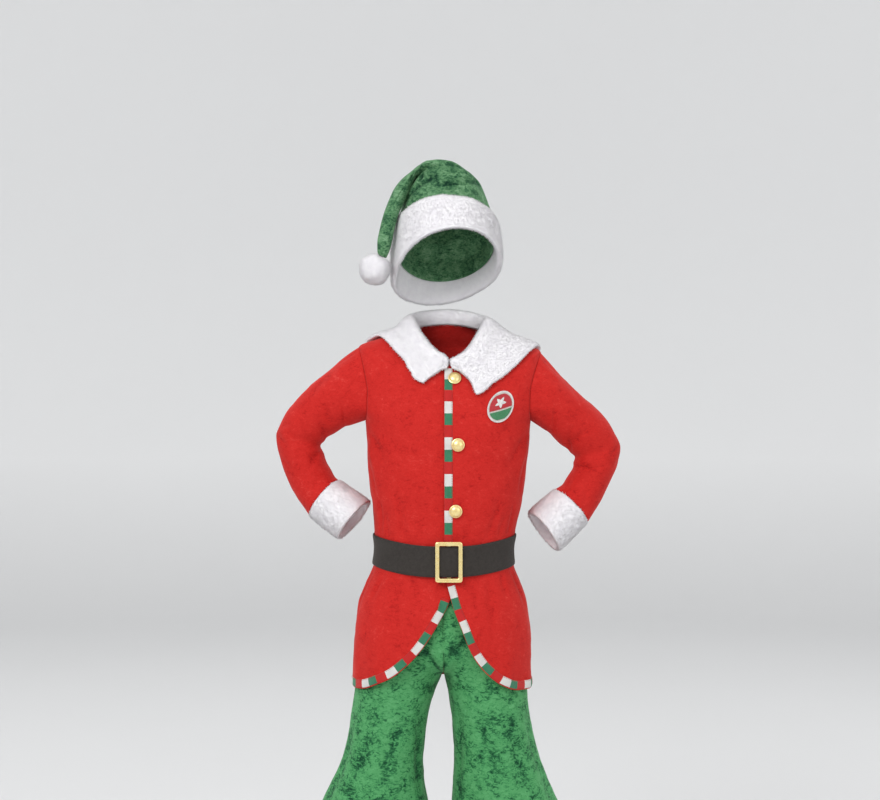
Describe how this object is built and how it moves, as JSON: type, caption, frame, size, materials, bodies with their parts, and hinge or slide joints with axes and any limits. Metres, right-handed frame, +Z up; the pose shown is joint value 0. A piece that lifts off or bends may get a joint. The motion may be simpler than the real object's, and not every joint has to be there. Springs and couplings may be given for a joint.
{
  "type": "elf costume",
  "caption": "Child's elf costume held as worn, hollow: pointed hat with pompom, plush-collared jacket, belt with buckle, flared knee-length trousers and leg warmers.",
  "frame": {"origin": "middle of the jacket's neck opening at shoulder height, where the wearer's shoulders carry it", "axes": "+Z up, -Y towards the wearer's front, +X towards the wearer's left"},
  "size_m": [0.5358, 0.2172, 1.2396],
  "materials": {
    "red_velvet": "crushed velvet, soft sheen",
    "white_plush": "short dense pile",
    "striped_binding": "woven, white, green and red blocks",
    "gold_plastic": "metallised gold",
    "patch_cloth": "embroidered twill",
    "black_belt": "dull black felt-backed cloth",
    "green_velvet": "crushed velvet, bright sheen",
    "striped_knit": "knit, white, green and red rings"
  },
  "bodies": {
    "root": {"jacket_front_left": "red_velvet", "jacket_front_right": "red_velvet", "jacket_back": "red_velvet", "jacket_sleeve_left": "red_velvet", "jacket_sleeve_right": "red_velvet", "jacket_collar": "white_plush", "sleeve_cuff_left": "white_plush", "sleeve_cuff_right": "white_plush", "hat_band": "white_plush", "hat_pompom": "white_plush", "jacket_binding_left": "striped_binding", "jacket_binding_right": "striped_binding", "jacket_binding_back": "striped_binding", "button_top": "gold_plastic", "button_middle": "gold_plastic", "button_low": "gold_plastic", "belt_buckle": "gold_plastic", "chest_patch": "patch_cloth", "belt": "black_belt", "trousers_front_left": "green_velvet", "trousers_back_left": "green_velvet", "trousers_front_right": "green_velvet", "trousers_back_right": "green_velvet", "trousers_waistband": "green_velvet", "hat_crown_front": "green_velvet", "hat_crown_back": "green_velvet", "leg_warmer_left": "striped_knit", "leg_warmer_right": "striped_knit"}
  },
  "joints": []
}
